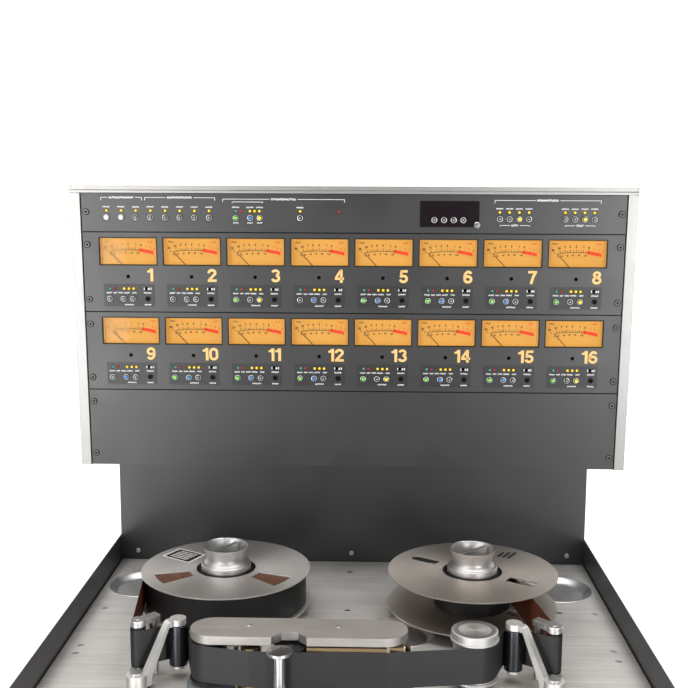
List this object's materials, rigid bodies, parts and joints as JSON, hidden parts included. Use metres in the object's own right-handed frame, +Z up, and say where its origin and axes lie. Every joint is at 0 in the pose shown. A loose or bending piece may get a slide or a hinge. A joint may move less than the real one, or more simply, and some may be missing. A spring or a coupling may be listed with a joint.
{
  "type": "reel to reel tape deck",
  "caption": "Console reel to reel tape deck for two-inch tape, with an overhead meter bridge, two reels, tension arms and a headblock.",
  "frame": {"origin": "on the floor under the middle of the cabinet", "axes": "+Z up, -Y towards the operator, +X to the operator's right"},
  "size_m": [0.927, 0.76, 1.5134],
  "materials": {
    "black_sheet": "fine structured black paint",
    "frame_black": "black anodised extrusion",
    "rack_aluminium": "clear passivated",
    "cover_paint": "structured dark grey paint",
    "panel_paint": "smooth satin dark grey paint",
    "brushed_plate": "brushed",
    "turned_aluminium": "turned, satin",
    "motor_steel": "grey enamel",
    "reel_flange": "fine satin anodised",
    "tape_edge": "wound tape, matte",
    "polished_steel": "polished",
    "dark_steel": "dark polished",
    "roller_rubber": "matte",
    "cast_grey": "satin",
    "bronze": "bronze anodised",
    "key_plastic": "satin",
    "silver_profile": "brushed anodised",
    "meter_black": "satin",
    "meter_glass": "clear",
    "needle_black": "matte",
    "button_cap": "satin",
    "hardware_metal": "satin",
    "lamp_lens": "clear tinted"
  },
  "bodies": {
    "cabinet": {"side_panels": "black_sheet", "base_frame": "frame_black", "electronics_rack": "rack_aluminium", "front_cover": "cover_paint", "rear_cover": "cover_paint", "back_panel": "cover_paint", "deck_plate": "brushed_plate", "drive_motors": "motor_steel", "guide_brackets": "turned_aluminium", "headblock": "cast_grey", "headblock_cover": "brushed_plate", "tape_heads": "bronze", "control_panel": "panel_paint", "bridge_case": "black_sheet", "bridge_profiles": "silver_profile", "master_panel": "panel_paint", "meter_panels": "panel_paint", "blank_panel": "panel_paint", "meter_housings": "meter_black", "meter_windows": "meter_glass", "panel_hardware": "hardware_metal", "lamp_lenses": "lamp_lens"},
    "supply_spindle": {"supply_platter": "turned_aluminium", "supply_reel": "reel_flange", "supply_tape_pack": "tape_edge"},
    "takeup_spindle": {"takeup_platter": "turned_aluminium", "takeup_reel": "reel_flange", "takeup_tape_pack": "tape_edge"},
    "supply_lock": {"supply_reel_lock": "turned_aluminium"},
    "takeup_lock": {"takeup_reel_lock": "turned_aluminium"},
    "left_arm": {"left_tension_arm": "turned_aluminium"},
    "right_arm": {"right_tension_arm": "turned_aluminium"},
    "left_arm_roller": {"left_tension_roller": "dark_steel"},
    "right_arm_roller": {"right_tension_roller": "dark_steel"},
    "left_guide": {"left_guide_roller": "dark_steel"},
    "right_guide": {"right_guide_roller": "dark_steel"},
    "timer": {"timer_roller": "turned_aluminium"},
    "entry": {"entry_roller": "meter_black"},
    "capstan_shaft": {"capstan": "polished_steel"},
    "pinch_lever": {"pinch_arm": "cast_grey"},
    "pinch_wheel": {"pinch_roller": "roller_rubber"},
    "keys": {"transport_keys": "key_plastic"},
    "buttons": {"push_buttons": "button_cap"},
    "switches": {"slide_switches": "meter_black"},
    "needle_01": {"meter_needle_01": "needle_black"},
    "needle_02": {"meter_needle_02": "needle_black"},
    "needle_03": {"meter_needle_03": "needle_black"},
    "needle_04": {"meter_needle_04": "needle_black"},
    "needle_05": {"meter_needle_05": "needle_black"},
    "needle_06": {"meter_needle_06": "needle_black"},
    "needle_07": {"meter_needle_07": "needle_black"},
    "needle_08": {"meter_needle_08": "needle_black"},
    "needle_09": {"meter_needle_09": "needle_black"},
    "needle_10": {"meter_needle_10": "needle_black"},
    "needle_11": {"meter_needle_11": "needle_black"},
    "needle_12": {"meter_needle_12": "needle_black"},
    "needle_13": {"meter_needle_13": "needle_black"},
    "needle_14": {"meter_needle_14": "needle_black"},
    "needle_15": {"meter_needle_15": "needle_black"},
    "needle_16": {"meter_needle_16": "needle_black"}
  },
  "joints": [
    {"name": "supply_spin", "type": "hinge", "parent": "cabinet", "child": "supply_spindle", "pos_m": [-0.1953, 0.0795, 0.83], "axis": [0, 0, 1], "continuous": true},
    {"name": "takeup_spin", "type": "hinge", "parent": "cabinet", "child": "takeup_spindle", "pos_m": [0.1953, 0.0795, 0.83], "axis": [0, 0, 1], "continuous": true},
    {"name": "supply_lock_turn", "type": "hinge", "parent": "supply_spindle", "child": "supply_lock", "pos_m": [-0.1953, 0.0795, 0.896], "axis": [0, 0, 1], "range_deg": [0, 90]},
    {"name": "takeup_lock_turn", "type": "hinge", "parent": "takeup_spindle", "child": "takeup_lock", "pos_m": [0.1953, 0.0795, 0.896], "axis": [0, 0, 1], "range_deg": [0, 90]},
    {"name": "left_arm_swing", "type": "hinge", "parent": "cabinet", "child": "left_arm", "pos_m": [-0.28, -0.192, 0.84], "axis": [0, 0, 1], "range_deg": [-14, 14]},
    {"name": "right_arm_swing", "type": "hinge", "parent": "cabinet", "child": "right_arm", "pos_m": [0.28, -0.192, 0.84], "axis": [0, 0, 1], "range_deg": [-14, 14]},
    {"name": "timer_spin", "type": "hinge", "parent": "cabinet", "child": "timer", "pos_m": [0.1747, -0.173, 0.85], "axis": [0, 0, 1], "continuous": true},
    {"name": "left_arm_roller_spin", "type": "hinge", "parent": "left_arm", "child": "left_arm_roller", "pos_m": [-0.231, -0.147, 0.85], "axis": [0, 0, 1], "continuous": true},
    {"name": "right_arm_roller_spin", "type": "hinge", "parent": "right_arm", "child": "right_arm_roller", "pos_m": [0.231, -0.147, 0.85], "axis": [0, 0, 1], "continuous": true},
    {"name": "left_guide_spin", "type": "hinge", "parent": "cabinet", "child": "left_guide", "pos_m": [-0.285, -0.154, 0.85], "axis": [0, 0, 1], "continuous": true},
    {"name": "right_guide_spin", "type": "hinge", "parent": "cabinet", "child": "right_guide", "pos_m": [0.285, -0.154, 0.85], "axis": [0, 0, 1], "continuous": true},
    {"name": "entry_spin", "type": "hinge", "parent": "cabinet", "child": "entry", "pos_m": [-0.182, -0.1855, 0.85], "axis": [0, 0, 1], "continuous": true},
    {"name": "capstan_spin", "type": "hinge", "parent": "cabinet", "child": "capstan_shaft", "pos_m": [-0.0835, -0.235, 0.85], "axis": [0, 0, 1], "continuous": true},
    {"name": "pinch_close", "type": "hinge", "parent": "cabinet", "child": "pinch_lever", "pos_m": [-0.03, -0.24, 0.845], "axis": [0, 0, 1], "range_deg": [0, 5]},
    {"name": "pinch_roller_spin", "type": "hinge", "parent": "pinch_lever", "child": "pinch_wheel", "pos_m": [-0.072, -0.202, 0.85], "axis": [0, 0, 1], "continuous": true},
    {"name": "transport_key_press", "type": "slide", "parent": "cabinet", "child": "keys", "axis": [0, 0.3434, -0.9392], "range_m": [0, 0.003], "stiffness_N_per_m": 400},
    {"name": "push_button_press", "type": "slide", "parent": "cabinet", "child": "buttons", "axis": [0, 0.9987, 0.0501], "range_m": [0, 0.0015], "stiffness_N_per_m": 400},
    {"name": "slide_switch_throw", "type": "slide", "parent": "cabinet", "child": "switches", "axis": [-1, 0, 0], "range_m": [0, 0.0044]},
    {"name": "needle_01_swing", "type": "hinge", "parent": "cabinet", "child": "needle_01", "pos_m": [-0.37073, 0.22142, 1.36326], "axis": [0, 0.9987, 0.0501], "range_deg": [0, 86], "stiffness_Nm_per_rad": 0.0002},
    {"name": "needle_02_swing", "type": "hinge", "parent": "cabinet", "child": "needle_02", "pos_m": [-0.26498, 0.22142, 1.36326], "axis": [0, 0.9987, 0.0501], "range_deg": [0, 86], "stiffness_Nm_per_rad": 0.0002},
    {"name": "needle_03_swing", "type": "hinge", "parent": "cabinet", "child": "needle_03", "pos_m": [-0.15923, 0.22142, 1.36326], "axis": [0, 0.9987, 0.0501], "range_deg": [0, 86], "stiffness_Nm_per_rad": 0.0002},
    {"name": "needle_04_swing", "type": "hinge", "parent": "cabinet", "child": "needle_04", "pos_m": [-0.05348, 0.22142, 1.36326], "axis": [0, 0.9987, 0.0501], "range_deg": [0, 86], "stiffness_Nm_per_rad": 0.0002},
    {"name": "needle_05_swing", "type": "hinge", "parent": "cabinet", "child": "needle_05", "pos_m": [0.05228, 0.22142, 1.36326], "axis": [0, 0.9987, 0.0501], "range_deg": [0, 86], "stiffness_Nm_per_rad": 0.0002},
    {"name": "needle_06_swing", "type": "hinge", "parent": "cabinet", "child": "needle_06", "pos_m": [0.15802, 0.22142, 1.36326], "axis": [0, 0.9987, 0.0501], "range_deg": [0, 86], "stiffness_Nm_per_rad": 0.0002},
    {"name": "needle_07_swing", "type": "hinge", "parent": "cabinet", "child": "needle_07", "pos_m": [0.26377, 0.22142, 1.36326], "axis": [0, 0.9987, 0.0501], "range_deg": [0, 86], "stiffness_Nm_per_rad": 0.0002},
    {"name": "needle_08_swing", "type": "hinge", "parent": "cabinet", "child": "needle_08", "pos_m": [0.36952, 0.22142, 1.36326], "axis": [0, 0.9987, 0.0501], "range_deg": [0, 86], "stiffness_Nm_per_rad": 0.0002},
    {"name": "needle_09_swing", "type": "hinge", "parent": "cabinet", "child": "needle_09", "pos_m": [-0.37073, 0.2281, 1.23008], "axis": [0, 0.9987, 0.0501], "range_deg": [0, 86], "stiffness_Nm_per_rad": 0.0002},
    {"name": "needle_10_swing", "type": "hinge", "parent": "cabinet", "child": "needle_10", "pos_m": [-0.26498, 0.2281, 1.23008], "axis": [0, 0.9987, 0.0501], "range_deg": [0, 86], "stiffness_Nm_per_rad": 0.0002},
    {"name": "needle_11_swing", "type": "hinge", "parent": "cabinet", "child": "needle_11", "pos_m": [-0.15923, 0.2281, 1.23008], "axis": [0, 0.9987, 0.0501], "range_deg": [0, 86], "stiffness_Nm_per_rad": 0.0002},
    {"name": "needle_12_swing", "type": "hinge", "parent": "cabinet", "child": "needle_12", "pos_m": [-0.05348, 0.2281, 1.23008], "axis": [0, 0.9987, 0.0501], "range_deg": [0, 86], "stiffness_Nm_per_rad": 0.0002},
    {"name": "needle_13_swing", "type": "hinge", "parent": "cabinet", "child": "needle_13", "pos_m": [0.05228, 0.2281, 1.23008], "axis": [0, 0.9987, 0.0501], "range_deg": [0, 86], "stiffness_Nm_per_rad": 0.0002},
    {"name": "needle_14_swing", "type": "hinge", "parent": "cabinet", "child": "needle_14", "pos_m": [0.15802, 0.2281, 1.23008], "axis": [0, 0.9987, 0.0501], "range_deg": [0, 86], "stiffness_Nm_per_rad": 0.0002},
    {"name": "needle_15_swing", "type": "hinge", "parent": "cabinet", "child": "needle_15", "pos_m": [0.26377, 0.2281, 1.23008], "axis": [0, 0.9987, 0.0501], "range_deg": [0, 86], "stiffness_Nm_per_rad": 0.0002},
    {"name": "needle_16_swing", "type": "hinge", "parent": "cabinet", "child": "needle_16", "pos_m": [0.36952, 0.2281, 1.23008], "axis": [0, 0.9987, 0.0501], "range_deg": [0, 86], "stiffness_Nm_per_rad": 0.0002}
  ],
  "couplings": [
    {"joint": "left_arm_roller_spin", "follows": "timer_spin", "ratio": -2.2308},
    {"joint": "right_arm_roller_spin", "follows": "timer_spin", "ratio": -2.2308},
    {"joint": "left_guide_spin", "follows": "timer_spin", "ratio": 2.7619},
    {"joint": "right_guide_spin", "follows": "timer_spin", "ratio": 2.7619},
    {"joint": "entry_spin", "follows": "timer_spin", "ratio": 1.2083}
  ]
}
